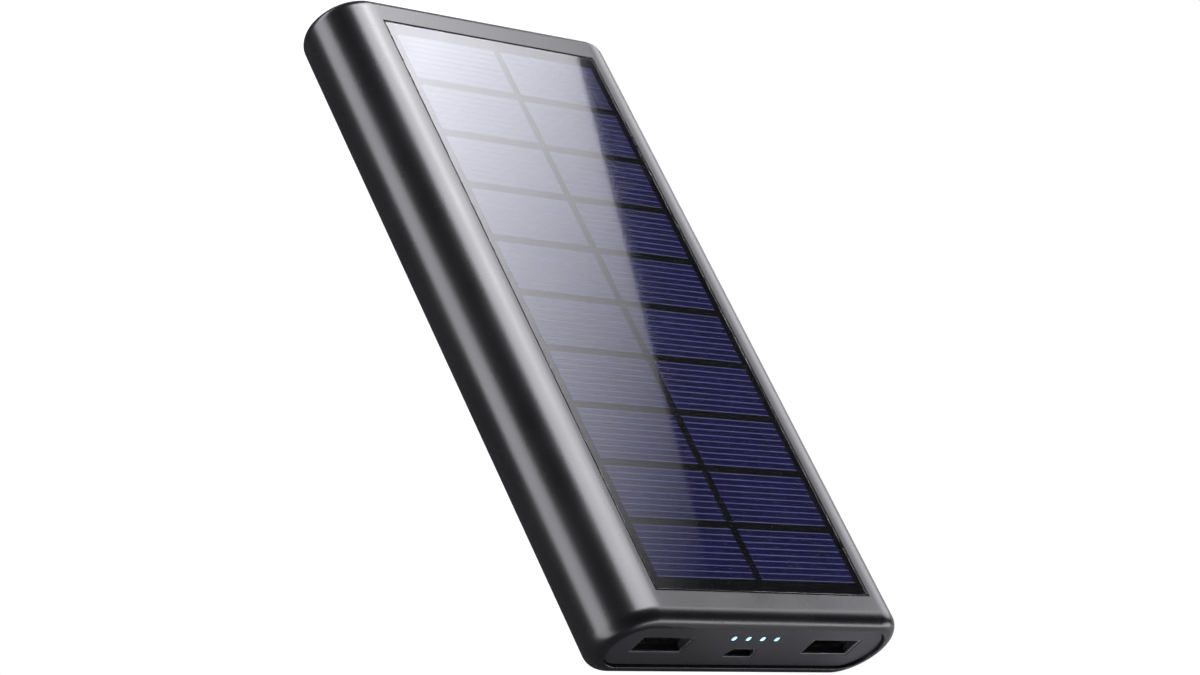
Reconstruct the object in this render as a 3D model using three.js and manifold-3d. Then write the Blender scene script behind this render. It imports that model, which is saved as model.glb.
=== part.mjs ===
// Solar phone charger: a hand-size battery pack with a solar panel in its front face.
// Millimetres. X is the width, Y the length with the ports at -Y, Z points out of the
// solar face. The rear face lies on z = 0 and the middle of the body is on x = 0, y = 0.
import * as THREE from 'three';
import { mergeVertices } from 'three/addons/utils/BufferGeometryUtils.js';
import Module from 'manifold-3d';

const wasm = await Module();
wasm.setup();

// Body
const WIDTH = 81.6;
const THICK = 19.6;
const LENGTH = 156.2;
const END_FILLET = 3.0;
const RIM_WALL = 3.35;
const RECESS = 0.6;
const PLATE_THICK = 2.0;
const PLATE_GAP = 0.1;

// Solar panel
const PANEL_W = 60.0;
const PANEL_L = 142.6;
const POCKET_GAP = 0.2;
const POCKET_DEPTH = 1.2;
const TAPE_THICK = 0.15;
const BACKING_THICK = 0.6;
const CELL_THICK = 0.2;
const COVER_DROP = 0.05;
const CELL_ROWS = 10;
const CELL_W = 27.0;
const CELL_L = 12.05;
const CELL_PITCH_X = 29.0;
const CELL_PITCH_Y = 13.85;

// Ports and lights, placed from the middle of the port end
const USB_X = 23.8;
const USB_SHELL_W = 13.2;
const USB_SHELL_H = 5.7;
const USB_SHELL_WALL = 0.3;
const USB_DEPTH = 14.0;
const USB_CUT_W = 13.8;
const USB_CUT_H = 4.9;
const MICRO_Z = 7.6;
const MICRO_CUT_W = 8.1;
const MICRO_CUT_H = 2.9;
const MICRO_DEPTH = 5.4;
const LED_PITCH = 4.03;
const LED_Z = 12.4;
const LED_WINDOW_W = 1.2;
const LED_WINDOW_H = 1.4;

// Board, tray and battery
const TRAY_GAP = 0.25;
const TRAY_WALL = 1.0;
const BOARD_Z = 5.5;
const BOARD_THICK = 1.6;
const BOARD_HALF_W = 33.0;
const BOARD_BACK_Y = -49.5;
const SCREW_X = 14.0;
const SCREW_Y = -53.4;
const POUCH_W = 64.0;
const POUCH_THICK = 5.1;
const POUCH_FRONT_Y = -44.8;
const POUCH_BACK_Y = 72.2;
const FOAM_THICK = 0.7;
const TAB_BOARD_Y = -46.9;
const TAB_BOARD_THICK = 0.8;

// Power button on the +X side
const BUTTON_Y = -56.0;
const BUTTON_L = 9.0;
const BUTTON_H = 3.2;
const BUTTON_GAP = 0.2;
const BUTTON_OUT = 40.75;
const BUTTON_DISH = 40.1;
const FLANGE_IN = 35.5;
const FLANGE_OUT = 36.7;
const NUB_IN = 34.3;
const SWITCH_FACE = 32.9;
const TRAVEL = 0.4;

const MID_Z = THICK / 2;
const FRONT_Z = THICK;
const PORT_Y = -LENGTH / 2;
const FAR_Y = LENGTH / 2;
const PLATE_FRONT_Y = PORT_Y + RECESS;
const PLATE_BACK_Y = PLATE_FRONT_Y + PLATE_THICK;
const CORE_X = WIDTH / 2 - THICK / 2;
const CAVITY_R = THICK / 2 - RIM_WALL;
const CAVITY_END_Y = FAR_Y - RIM_WALL;
const POCKET_FLOOR = FRONT_Z - POCKET_DEPTH;
const BACKING_Z = POCKET_FLOOR + TAPE_THICK;
const CELL_Z = BACKING_Z + BACKING_THICK;
const COVER_TOP = FRONT_Z - COVER_DROP;
const BOARD_TOP = BOARD_Z + BOARD_THICK;
const SHELL_FRONT_Y = PLATE_BACK_Y + 0.1;
const TRAY_R = CAVITY_R - TRAY_GAP;
const TRAY_FLOOR = MID_Z - TRAY_R + TRAY_WALL;

const FINISH = {
  shell: { color: 0x2b2b30, roughness: 0.42, metalness: 0.15 },
  plate: { color: 0x3a3b40, roughness: 0.5, metalness: 0.1 },
  cell: { color: 0x14123f, roughness: 0.3, metalness: 0.2 },
  backing: { color: 0x0c0c0d, roughness: 0.6, metalness: 0.0 },
  clear: { color: 0xdfe6ee, roughness: 0.05, metalness: 0.0 },
  tape: { color: 0xe8e4d8, roughness: 0.8, metalness: 0.0 },
  tray: { color: 0x1b1c1e, roughness: 0.7, metalness: 0.0 },
  pouch: { color: 0xb9bcc2, roughness: 0.35, metalness: 0.8 },
  foam: { color: 0x2a2a2a, roughness: 0.95, metalness: 0.0 },
  board: { color: 0x0f4a2a, roughness: 0.5, metalness: 0.0 },
  steel: { color: 0xb8bcc0, roughness: 0.25, metalness: 1.0 },
  nylon: { color: 0x17181a, roughness: 0.5, metalness: 0.0 },
  light: { color: 0xbfeaff, roughness: 0.2, metalness: 0.0 },
  led: { color: 0xf2f2e4, roughness: 0.3, metalness: 0.0 },
  red: { color: 0xb01818, roughness: 0.5, metalness: 0.0 },
  black: { color: 0x101010, roughness: 0.5, metalness: 0.0 },
  chip: { color: 0x131416, roughness: 0.45, metalness: 0.0 },
  ferrite: { color: 0x3c3d3f, roughness: 0.6, metalness: 0.1 },
  can: { color: 0xa9adb3, roughness: 0.3, metalness: 0.9 },
};

// A closed solid for the boolean operations, made from three.js geometry.
function solid(geometry) {
  const plain = geometry.clone();
  plain.deleteAttribute('normal');
  plain.deleteAttribute('uv');
  const merged = mergeVertices(plain);
  return new wasm.Manifold(new wasm.Mesh({
    numProp: 3,
    vertProperties: new Float32Array(merged.attributes.position.array),
    triVerts: new Uint32Array(merged.index.array),
  }));
}

function geometryOf(manifold) {
  const mesh = manifold.getMesh();
  const geometry = new THREE.BufferGeometry();
  geometry.setAttribute('position', new THREE.BufferAttribute(mesh.vertProperties, 3));
  geometry.setIndex(new THREE.BufferAttribute(mesh.triVerts, 1));
  geometry.computeVertexNormals();
  return geometry;
}

function box(x, y, z) {
  const geometry = new THREE.BoxGeometry(x[1] - x[0], y[1] - y[0], z[1] - z[0]);
  return geometry.translate((x[0] + x[1]) / 2, (y[0] + y[1]) / 2, (z[0] + z[1]) / 2);
}

function boxSolid(x, y, z) {
  return solid(box(x, y, z));
}

// A flat-sided slot shape with round ends, lying along the shape's first axis.
function stadium(halfLength, radius) {
  const shape = new THREE.Shape();
  const reach = halfLength - radius;
  shape.moveTo(-reach, -radius);
  shape.lineTo(reach, -radius);
  shape.absarc(reach, 0, radius, -Math.PI / 2, Math.PI / 2, false);
  shape.lineTo(-reach, radius);
  shape.absarc(-reach, 0, radius, Math.PI / 2, Math.PI * 1.5, false);
  return shape;
}

function roundedRect(halfX, halfZ, radius) {
  const shape = new THREE.Shape();
  shape.moveTo(-halfX + radius, -halfZ);
  shape.lineTo(halfX - radius, -halfZ);
  shape.absarc(halfX - radius, -halfZ + radius, radius, -Math.PI / 2, 0, false);
  shape.lineTo(halfX, halfZ - radius);
  shape.absarc(halfX - radius, halfZ - radius, radius, 0, Math.PI / 2, false);
  shape.lineTo(-halfX + radius, halfZ);
  shape.absarc(-halfX + radius, halfZ - radius, radius, Math.PI / 2, Math.PI, false);
  shape.lineTo(-halfX, -halfZ + radius);
  shape.absarc(-halfX + radius, -halfZ + radius, radius, Math.PI, Math.PI * 1.5, false);
  return shape;
}

function polygon(points) {
  const shape = new THREE.Shape();
  shape.moveTo(points[0][0], points[0][1]);
  for (const point of points.slice(1)) {
    shape.lineTo(point[0], point[1]);
  }
  return shape;
}

// Extrudes an X-Z outline along Y, with an optional rounded edge at both ends.
function alongY(shape, y, z, segments, fillet = 0) {
  const geometry = new THREE.ExtrudeGeometry(shape, {
    depth: y[1] - y[0] - 2 * fillet,
    curveSegments: segments,
    bevelEnabled: fillet > 0,
    bevelThickness: fillet,
    bevelSize: fillet,
    bevelOffset: -fillet,
    bevelSegments: 5,
  });
  return geometry.rotateX(Math.PI / 2).translate(0, y[1] - fillet, z);
}

// Extrudes a Y-Z outline along X.
function alongX(shape, x, y, z, segments) {
  const geometry = new THREE.ExtrudeGeometry(shape, {
    depth: x[1] - x[0],
    curveSegments: segments,
    bevelEnabled: false,
  });
  geometry.rotateX(Math.PI / 2).rotateZ(Math.PI / 2);
  return geometry.translate(x[0], y, z);
}

function upright(radius, x, y, z, sides) {
  const geometry = new THREE.CylinderGeometry(radius, radius, z[1] - z[0], sides);
  return geometry.rotateX(Math.PI / 2).translate(x, y, (z[0] + z[1]) / 2);
}

// An insulated wire that runs straight, bends once on each side and lands straight.
function wire(points, radius) {
  const path = new THREE.CurvePath();
  const corners = points.map((point) => new THREE.Vector3(point[0], point[1], point[2]));
  let from = corners[0];
  for (let i = 1; i < corners.length - 1; i += 1) {
    const before = corners[i].clone().lerp(corners[i - 1], 0.45);
    const after = corners[i].clone().lerp(corners[i + 1], 0.45);
    path.add(new THREE.LineCurve3(from, before));
    path.add(new THREE.QuadraticBezierCurve3(before, corners[i], after));
    from = after;
  }
  path.add(new THREE.LineCurve3(from, corners[corners.length - 1]));
  const outline = new THREE.Shape();
  outline.absarc(0, 0, radius, 0, Math.PI * 2, false);
  return new THREE.ExtrudeGeometry(outline, {
    steps: 16,
    curveSegments: 4,
    extrudePath: path,
    bevelEnabled: false,
  });
}

const charger = new THREE.Group();
charger.name = 'solar_phone_charger';

function addNode(name, geometry, finish) {
  const mesh = new THREE.Mesh(geometry, new THREE.MeshStandardMaterial(FINISH[finish]));
  mesh.name = name;
  charger.add(mesh);
}

function cellPlaces() {
  const places = [];
  for (let row = 0; row < CELL_ROWS; row += 1) {
    const y = (row - (CELL_ROWS - 1) / 2) * CELL_PITCH_Y;
    places.push({ name: `solar_cell_left_${row + 1}`, x: -CELL_PITCH_X / 2, y });
    places.push({ name: `solar_cell_right_${row + 1}`, x: CELL_PITCH_X / 2, y });
  }
  return places;
}

function cellBox(place) {
  return box(
    [place.x - CELL_W / 2, place.x + CELL_W / 2],
    [place.y - CELL_L / 2, place.y + CELL_L / 2],
    [CELL_Z, CELL_Z + CELL_THICK],
  );
}

function housingSleeve() {
  const outer = alongY(stadium(WIDTH / 2, THICK / 2), [PORT_Y, FAR_Y], MID_Z, 8, END_FILLET);
  const cavity = alongY(
    stadium(CORE_X + CAVITY_R, CAVITY_R), [PORT_Y - 1, CAVITY_END_Y], MID_Z, 8);
  let body = solid(outer).subtract(solid(cavity));
  const pocketX = PANEL_W / 2 + POCKET_GAP;
  const pocketY = PANEL_L / 2 + POCKET_GAP;
  body = body.subtract(
    boxSolid([-pocketX, pocketX], [-pocketY, pocketY], [POCKET_FLOOR, FRONT_Z + 1]));
  body = body.subtract(boxSolid([-6, 6], [-63, -58], [MID_Z, FRONT_Z]));
  const dish = alongX(stadium(6.6, 3.6), [BUTTON_DISH, WIDTH], BUTTON_Y, MID_Z, 6);
  body = body.subtract(solid(dish));
  const hole = stadium(BUTTON_L / 2 + BUTTON_GAP, BUTTON_H / 2 + BUTTON_GAP);
  body = body.subtract(solid(alongX(hole, [CORE_X, WIDTH], BUTTON_Y, MID_Z, 6)));
  for (const side of [-1, 1]) {
    const x = [side * 12.5 - 2.8, side * 12.5 + 2.8];
    const top = MID_Z + CAVITY_R;
    const bottom = MID_Z - CAVITY_R;
    body = body.subtract(boxSolid(x, [-72.8, -70.2], [top - 1, top + 0.75]));
    body = body.subtract(boxSolid(x, [-72.8, -70.2], [bottom - 0.75, bottom + 1]));
  }
  return geometryOf(body);
}

function microOutline(halfW, height, cut) {
  return polygon([
    [-halfW, 0],
    [halfW, 0],
    [halfW, height * 0.42],
    [halfW - cut, height],
    [-halfW + cut, height],
    [-halfW, height * 0.42],
  ]);
}

function portEndPlate() {
  const radius = CAVITY_R - PLATE_GAP;
  const y = [PLATE_FRONT_Y, PLATE_BACK_Y];
  let body = solid(alongY(stadium(CORE_X + radius, radius), y, MID_Z, 8));
  const through = [y[0] - 1, y[1] + 1];
  const portZ = BOARD_TOP + USB_SHELL_H / 2;
  for (const side of [-1, 1]) {
    const x = [side * USB_X - USB_CUT_W / 2, side * USB_X + USB_CUT_W / 2];
    body = body.subtract(boxSolid(x, through, [portZ - USB_CUT_H / 2, portZ + USB_CUT_H / 2]));
  }
  const micro = microOutline(MICRO_CUT_W / 2, MICRO_CUT_H, 1.1);
  body = body.subtract(solid(alongY(micro, through, MICRO_Z - MICRO_CUT_H / 2, 1)));
  for (const x of ledPlaces()) {
    const window = [x - LED_WINDOW_W / 2, x + LED_WINDOW_W / 2];
    const height = [LED_Z - LED_WINDOW_H / 2, LED_Z + LED_WINDOW_H / 2];
    body = body.subtract(boxSolid(window, through, height));
  }
  for (const side of [-1, 1]) {
    const x = [side * 12.5 - 2.5, side * 12.5 + 2.5];
    body = body.add(boxSolid(x, [y[1] - 0.5, -70.5], [14.9, 16.0]));
    body = body.add(boxSolid(x, [-72.6, -70.5], [15.5, 16.75]));
    body = body.add(boxSolid(x, [y[1] - 0.5, -70.5], [3.6, 4.7]));
    body = body.add(boxSolid(x, [-72.6, -70.5], [2.85, 4.2]));
  }
  return geometryOf(body);
}

function ledPlaces() {
  return [-1.5, -0.5, 0.5, 1.5].map((step) => step * LED_PITCH);
}

function adhesiveFrame() {
  const x = PANEL_W / 2 - 0.5;
  const y = PANEL_L / 2 - 0.5;
  const z = [POCKET_FLOOR, BACKING_Z];
  const hole = boxSolid([-x + 5, x - 5], [-y + 5, y - 5], [z[0] - 1, z[1] + 1]);
  return geometryOf(boxSolid([-x, x], [-y, y], z).subtract(hole));
}

function clearCover() {
  const x = PANEL_W / 2;
  const y = PANEL_L / 2;
  let body = boxSolid([-x, x], [-y, y], [CELL_Z, COVER_TOP]);
  for (const place of cellPlaces()) {
    body = body.subtract(solid(cellBox(place)));
  }
  return geometryOf(body);
}

function innerChassis() {
  const y = [-75.2, 74.5];
  let body = solid(alongY(stadium(CORE_X + TRAY_R, TRAY_R), y, MID_Z, 8));
  body = body.subtract(boxSolid([-50, 50], [-90, 90], [MID_Z, 30]));
  const innerR = TRAY_R - TRAY_WALL;
  const bay = [[-76, -48.2], [-47.2, y[1] - 1]];
  for (const range of bay) {
    body = body.subtract(solid(alongY(stadium(CORE_X + innerR, innerR), range, MID_Z, 8)));
  }
  body = body.subtract(boxSolid([-12, 12], [-49, -46], [TRAY_FLOOR, 12]));
  body = body.subtract(boxSolid([-50, 50], [-76, -48.2], [BOARD_TOP + 0.2, 12]));
  for (const side of [-1, 1]) {
    const x = [side * 12.5 - 3.2, side * 12.5 + 3.2];
    body = body.subtract(boxSolid(x, [-76, -69.8], [0, 6]));
    body = body.add(solid(upright(2.5, side * SCREW_X, SCREW_Y, [TRAY_FLOOR - 0.5, BOARD_Z], 16)));
    const rest = [side * 30 - 1.2, side * 30 + 1.2];
    body = body.add(boxSolid(rest, [-72, -62], [TRAY_FLOOR - 0.5, BOARD_Z]));
    const hole = upright(1.05, side * SCREW_X, SCREW_Y, [TRAY_FLOOR - 0.4, BOARD_Z + 1], 12);
    body = body.subtract(solid(hole));
  }
  return geometryOf(body);
}

function batteryPouch(bottom) {
  const half = POUCH_THICK / 2;
  const outline = roundedRect(POUCH_W / 2, half, 1.5);
  let body = solid(alongY(outline, [POUCH_FRONT_Y, POUCH_BACK_Y], bottom + half, 3));
  const tabY = [TAB_BOARD_Y + TAB_BOARD_THICK, POUCH_FRONT_Y + 1];
  for (const side of [-1, 1]) {
    const x = [side * 8 - 2.5, side * 8 + 2.5];
    body = body.add(boxSolid(x, tabY, [bottom + half - 0.15, bottom + half + 0.15]));
  }
  return geometryOf(body);
}

function mainBoard() {
  const x = BOARD_HALF_W;
  const y = [-75.3, BOARD_BACK_Y];
  let body = boxSolid([-x, x], y, [BOARD_Z, BOARD_TOP]);
  body = body.subtract(boxSolid([-4, 4], [-80, -69.8], [0, 20]));
  for (const side of [-1, 1]) {
    const hole = upright(1.2, side * SCREW_X, SCREW_Y, [0, 20], 16);
    body = body.subtract(solid(hole));
  }
  return geometryOf(body);
}

function usbShell(x0) {
  const halfW = USB_SHELL_W / 2;
  const t = USB_SHELL_WALL;
  const y = [SHELL_FRONT_Y, SHELL_FRONT_Y + USB_DEPTH];
  const z = [BOARD_TOP, BOARD_TOP + USB_SHELL_H];
  const outer = boxSolid([x0 - halfW, x0 + halfW], y, z);
  const inner = boxSolid([x0 - halfW + t, x0 + halfW - t], [y[0] - 1, y[1] - t], [z[0] + t, z[1] - t]);
  return geometryOf(outer.subtract(inner));
}

function usbTongue(x0) {
  const halfW = USB_SHELL_W / 2 - USB_SHELL_WALL;
  const back = SHELL_FRONT_Y + USB_DEPTH - USB_SHELL_WALL;
  const z = [BOARD_TOP + USB_SHELL_WALL, BOARD_TOP + USB_SHELL_H - USB_SHELL_WALL];
  const block = boxSolid([x0 - halfW, x0 + halfW], [back - 2.7, back], z);
  const blade = boxSolid([x0 - 5.6, x0 + 5.6], [SHELL_FRONT_Y + 1.1, back - 2], [z[1] - 2.35, z[1] - 0.5]);
  return geometryOf(block.add(blade));
}

function microShell() {
  const t = 0.25;
  const y = [SHELL_FRONT_Y, SHELL_FRONT_Y + MICRO_DEPTH];
  const z = MICRO_Z - 1.4;
  const outer = solid(alongY(microOutline(3.75, 2.8, 1.0), y, z, 1));
  const inner = solid(alongY(microOutline(3.5, 2.3, 0.9), [y[0] - 1, y[1] - t], z + t, 1));
  return geometryOf(outer.subtract(inner));
}

function microTongue() {
  const back = SHELL_FRONT_Y + MICRO_DEPTH - 0.25;
  const z = MICRO_Z - 1.15;
  const block = boxSolid([-2.5, 2.5], [back - 0.8, back], [z, z + 2.3]);
  const blade = boxSolid([-2.0, 2.0], [SHELL_FRONT_Y + 0.7, back - 0.4], [z + 1.15, z + 1.75]);
  return geometryOf(block.add(blade));
}

function lightGuide() {
  let body = boxSolid([-7, 7], [-73.4, -72.6], [LED_Z - 0.8, LED_Z + 0.8]);
  for (const x of ledPlaces()) {
    const width = [x - 0.54, x + 0.54];
    const prong = boxSolid(width, [PLATE_FRONT_Y + 0.05, -67.9], [LED_Z - 0.64, LED_Z + 0.64]);
    body = body.add(prong);
    body = body.add(boxSolid(width, [-69.2, -67.9], [8.1, LED_Z]));
  }
  return geometryOf(body);
}

function indicatorLed(x) {
  const base = boxSolid([x - 0.6, x + 0.6], [-69.4, -67.8], [BOARD_TOP, BOARD_TOP + 0.4]);
  const lens = boxSolid([x - 0.5, x + 0.5], [-69.1, -68.1], [BOARD_TOP + 0.3, BOARD_TOP + 0.8]);
  return geometryOf(base.add(lens));
}

function buttonCap() {
  const cap = solid(alongX(stadium(BUTTON_L / 2, BUTTON_H / 2), [FLANGE_OUT - 0.5, BUTTON_OUT],
    BUTTON_Y, MID_Z, 6));
  const flange = boxSolid([FLANGE_IN, FLANGE_OUT], [BUTTON_Y - 5.6, BUTTON_Y + 5.6],
    [MID_Z - 2.2, MID_Z + 2.2]);
  const nub = boxSolid([NUB_IN, FLANGE_IN + 0.5], [BUTTON_Y - 1.2, BUTTON_Y + 1.2],
    [MID_Z - 1.2, MID_Z + 1.2]);
  return geometryOf(cap.add(flange).add(nub));
}

function switchBody() {
  const body = boxSolid([28.9, SWITCH_FACE], [BUTTON_Y - 3, BUTTON_Y + 3], [BOARD_TOP, 11.9]);
  const bore = alongX(stadium(1.6, 1.0), [31.8, SWITCH_FACE + 1], BUTTON_Y, MID_Z, 4);
  return geometryOf(body.subtract(solid(bore)));
}

function switchPlunger() {
  return alongX(stadium(1.45, 0.85), [31.85 + TRAVEL, NUB_IN - 0.05], BUTTON_Y, MID_Z, 4);
}

function screw(x) {
  const shank = solid(upright(0.95, x, SCREW_Y, [TRAY_FLOOR, BOARD_TOP + 0.3], 12));
  const head = solid(upright(1.9, x, SCREW_Y, [BOARD_TOP, BOARD_TOP + 1.2], 16));
  const slot = boxSolid([x - 1.3, x + 1.3], [SCREW_Y - 0.25, SCREW_Y + 0.25],
    [BOARD_TOP + 0.7, BOARD_TOP + 3]);
  const cross = boxSolid([x - 0.25, x + 0.25], [SCREW_Y - 1.3, SCREW_Y + 1.3],
    [BOARD_TOP + 0.7, BOARD_TOP + 3]);
  return geometryOf(shank.add(head).subtract(slot).subtract(cross));
}

function inductor() {
  const base = boxSolid([-3.5, 3.5], [-59.4, -52.4], [BOARD_TOP, BOARD_TOP + 2.8]);
  const groove = boxSolid([-5, 5], [-57.2, -54.6], [BOARD_TOP + 2.4, BOARD_TOP + 4]);
  return geometryOf(base.subtract(groove));
}

function capacitor() {
  const foot = boxSolid([-29.4, -22.8], [-58.3, -51.7], [BOARD_TOP, BOARD_TOP + 0.8]);
  const can = solid(upright(3.15, -26.1, -55, [BOARD_TOP + 0.5, BOARD_TOP + 6.2], 20));
  return geometryOf(foot.add(can));
}

function chip(x, y, height) {
  return box(x, y, [BOARD_TOP, BOARD_TOP + height]);
}

addNode('housing_sleeve', housingSleeve(), 'shell');
addNode('port_end_plate', portEndPlate(), 'plate');
addNode('panel_adhesive_frame', adhesiveFrame(), 'tape');
addNode('panel_backing_board', box(
  [-PANEL_W / 2, PANEL_W / 2], [-PANEL_L / 2, PANEL_L / 2], [BACKING_Z, CELL_Z]), 'backing');
for (const place of cellPlaces()) {
  addNode(place.name, cellBox(place), 'cell');
}
addNode('panel_clear_cover', clearCover(), 'clear');
for (const [name, x, finish] of [['solar_lead_positive', -2.5, 'red'], ['solar_lead_negative', 2.5, 'black']]) {
  addNode(name, wire([
    [x, -60.6, BACKING_Z], [x, -60.6, 13.5], [x, -63.2, 10.5], [x, -63.2, BOARD_TOP]], 0.6), finish);
}
addNode('inner_chassis', innerChassis(), 'tray');
addNode('battery_pouch_lower', batteryPouch(TRAY_FLOOR), 'pouch');
addNode('battery_foam_pad', box([-29, 29], [POUCH_FRONT_Y + 4, POUCH_BACK_Y - 4],
  [TRAY_FLOOR + POUCH_THICK, TRAY_FLOOR + POUCH_THICK + FOAM_THICK]), 'foam');
addNode('battery_pouch_upper', batteryPouch(TRAY_FLOOR + POUCH_THICK + FOAM_THICK), 'pouch');
addNode('battery_tab_board', box(
  [-11.5, 11.5], [TAB_BOARD_Y, TAB_BOARD_Y + TAB_BOARD_THICK], [5.4, 15.0]), 'board');
for (const [name, x, finish] of [['battery_lead_positive', -8, 'red'], ['battery_lead_negative', 8, 'black']]) {
  addNode(name, wire([
    [x, TAB_BOARD_Y, 12.4], [x, -50.9, 12.4], [x, -50.9, BOARD_TOP]], 0.8), finish);
}
addNode('main_circuit_board', mainBoard(), 'board');
addNode('usb_a_shell_left', usbShell(-USB_X), 'steel');
addNode('usb_a_tongue_left', usbTongue(-USB_X), 'nylon');
addNode('usb_a_shell_right', usbShell(USB_X), 'steel');
addNode('usb_a_tongue_right', usbTongue(USB_X), 'nylon');
addNode('micro_usb_shell', microShell(), 'steel');
addNode('micro_usb_tongue', microTongue(), 'nylon');
ledPlaces().forEach((x, i) => addNode(`indicator_led_${i + 1}`, indicatorLed(x), 'led'));
addNode('led_light_guide', lightGuide(), 'light');
addNode('power_button_cap', buttonCap(), 'shell');
addNode('tact_switch_body', switchBody(), 'nylon');
addNode('tact_switch_plunger', switchPlunger(), 'steel');
addNode('boost_inductor', inductor(), 'ferrite');
addNode('charge_controller_chip', chip([-12.5, -7.5], [-66.3, -61.3], 0.9), 'chip');
addNode('battery_protection_chip', chip([7.5, 12.5], [-66, -62], 1.5), 'chip');
addNode('output_capacitor', capacitor(), 'can');
addNode('board_screw_left', screw(-SCREW_X), 'steel');
addNode('board_screw_right', screw(SCREW_X), 'steel');

export default charger;
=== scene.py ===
"""Looks of a solar phone charger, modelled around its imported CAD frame."""

import math

import bmesh
import bpy
from bpy.props import FloatProperty, FloatVectorProperty, IntProperty, PointerProperty
from mathutils import Euler, Matrix, Vector


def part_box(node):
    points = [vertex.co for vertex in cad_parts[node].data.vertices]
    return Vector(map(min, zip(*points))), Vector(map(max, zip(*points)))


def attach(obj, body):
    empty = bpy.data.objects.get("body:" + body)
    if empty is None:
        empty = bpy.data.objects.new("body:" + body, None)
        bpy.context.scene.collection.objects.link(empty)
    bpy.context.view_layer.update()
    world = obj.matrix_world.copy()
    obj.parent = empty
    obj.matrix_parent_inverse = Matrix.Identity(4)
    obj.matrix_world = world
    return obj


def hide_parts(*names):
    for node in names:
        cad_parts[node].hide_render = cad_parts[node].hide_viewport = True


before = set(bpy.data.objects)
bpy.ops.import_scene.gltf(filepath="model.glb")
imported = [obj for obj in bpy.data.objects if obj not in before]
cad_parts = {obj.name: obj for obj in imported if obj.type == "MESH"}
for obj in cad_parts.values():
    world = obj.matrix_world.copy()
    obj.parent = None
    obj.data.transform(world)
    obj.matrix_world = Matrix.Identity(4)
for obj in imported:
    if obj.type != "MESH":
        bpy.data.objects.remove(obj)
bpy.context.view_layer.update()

bl_info = {
    "name": "Solar Phone Charger",
    "version": (1, 0, 0),
    "blender": (4, 5, 0),
    "location": "3D Viewport > Sidebar > Charger",
    "description": "Builds the visible pieces of a solar phone charger",
    "category": "Object",
}

BODY = "charger_body"
BUTTON = "power_button"
SLEEVE_LOW, SLEEVE_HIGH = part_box("housing_sleeve")
PLATE_LOW, PLATE_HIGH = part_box("port_end_plate")
COVER_LOW, COVER_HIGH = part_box("panel_clear_cover")
CELL_NAMES = sorted(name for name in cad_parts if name.startswith("solar_cell"))
CELL_LOW, CELL_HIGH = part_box("solar_cell_left_1")
CELL_TOP = CELL_HIGH.z
MID_Z = (SLEEVE_LOW.z + SLEEVE_HIGH.z) / 2
MM = 0.001
LED_PITCH = 4.03 * MM
LED_Z = 12.4 * MM
LED_STEPS = (-1.5, -0.5, 0.5, 1.5)
LIP_SET_BACK = 0.14 * MM
MOUTH_ROUND = 0.24 * MM
PILL_SIDES = 48
LINE_COUNT = 9
LINE_THICKNESS = 0.02 * MM
TINT_SPREAD = 0.25
NEAR = 1e-6
CUT_NEAR = 1e-7
CAMERA_PLACE = (-0.47911, -0.33179, 0.37823)


def length(label, about, value):
    """A length property in metres, given in millimetres."""
    return FloatProperty(
        name=label,
        description=about,
        default=value * MM,
        min=0.0,
        precision=5,
        unit="LENGTH",
    )


def colour(label, about, value):
    return FloatVectorProperty(
        name=label,
        description=about,
        default=value,
        size=3,
        min=0.0,
        max=1.0,
        subtype="COLOR",
    )


class ChargerSizes(bpy.types.PropertyGroup):
    port_fillet: length("Port end fillet", "Radius of the edge round the port end", 3.0)
    far_fillet: length("Far end fillet", "Radius of the edge round the far end", 2.6)
    rim_wall: length("Rim wall", "Wall round the port opening", 3.35)
    far_wall: length("Far wall", "Wall that closes the far end", 3.35)
    pocket_gap: length("Pocket gap", "Gap between the panel and its pocket", 0.2)
    pocket_chamfer: length("Pocket chamfer", "Chamfer along the pocket's edge", 0.18)
    pocket_depth: length("Pocket depth", "Depth of the panel's pocket", 1.2)
    plate_chamfer: length("Plate chamfer", "Chamfer round the port end plate", 0.25)
    cut_chamfer: length("Cut-out chamfer", "Chamfer round the socket cut-outs", 0.14)
    line_width: length("Printed line", "Width of the silver lines on a cell", 0.2)
    round_sides: IntProperty(
        name="Round sides",
        description="Sides of the full round that the body's edges are cut from",
        default=96,
        min=16,
        max=256,
    )


class ChargerColours(bpy.types.PropertyGroup):
    shell: colour("Shell", "Colour of the moulded body", (0.004, 0.004, 0.0045))
    plate: colour("Plate", "Colour of the port end plate", (0.028, 0.0285, 0.032))
    silicon: colour("Cells", "Colour of the solar cells", (0.0022, 0.0020, 0.0165))
    print_silver: colour("Lines", "Colour of the printed lines", (0.038, 0.038, 0.074))
    backing: colour("Backing", "Colour of the panel's backing board", (0.001, 0.001, 0.0012))
    glow: colour("Lights", "Colour of the charge lights", (0.22, 0.66, 1.0))
    floor: colour("Floor", "Colour of the studio floor", (0.86, 0.86, 0.87))


# Modelling helpers


def millimetres(*values):
    return Vector(value * MM for value in values)


def start_object(name):
    """Names the object that a primitive operator has just added and fixes its place in its mesh."""
    piece = bpy.context.object
    piece.name = name
    piece.data.name = name
    bpy.ops.object.transform_apply(location=True, rotation=True, scale=True)
    return piece


def block(name, low, high):
    """A box between two corners, to be shaped further."""
    bpy.ops.object.select_all(action="DESELECT")
    low = Vector(low)
    high = Vector(high)
    bpy.ops.mesh.primitive_cube_add(size=1.0, location=(low + high) / 2, scale=high - low)
    return start_object(name)


def round_bar(name, turn, radius, depth, centre, sides):
    """A bar of full radius across its flats, with a flat on its top, its bottom and its sides."""
    bpy.ops.object.select_all(action="DESELECT")
    half_side = Matrix.Rotation(math.pi / sides, 3, "Z")
    bpy.ops.mesh.primitive_cylinder_add(
        vertices=sides,
        radius=radius / math.cos(math.pi / sides),
        depth=depth,
        location=centre,
        rotation=(turn.to_matrix() @ half_side).to_euler(),
    )
    return start_object(name)


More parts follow.
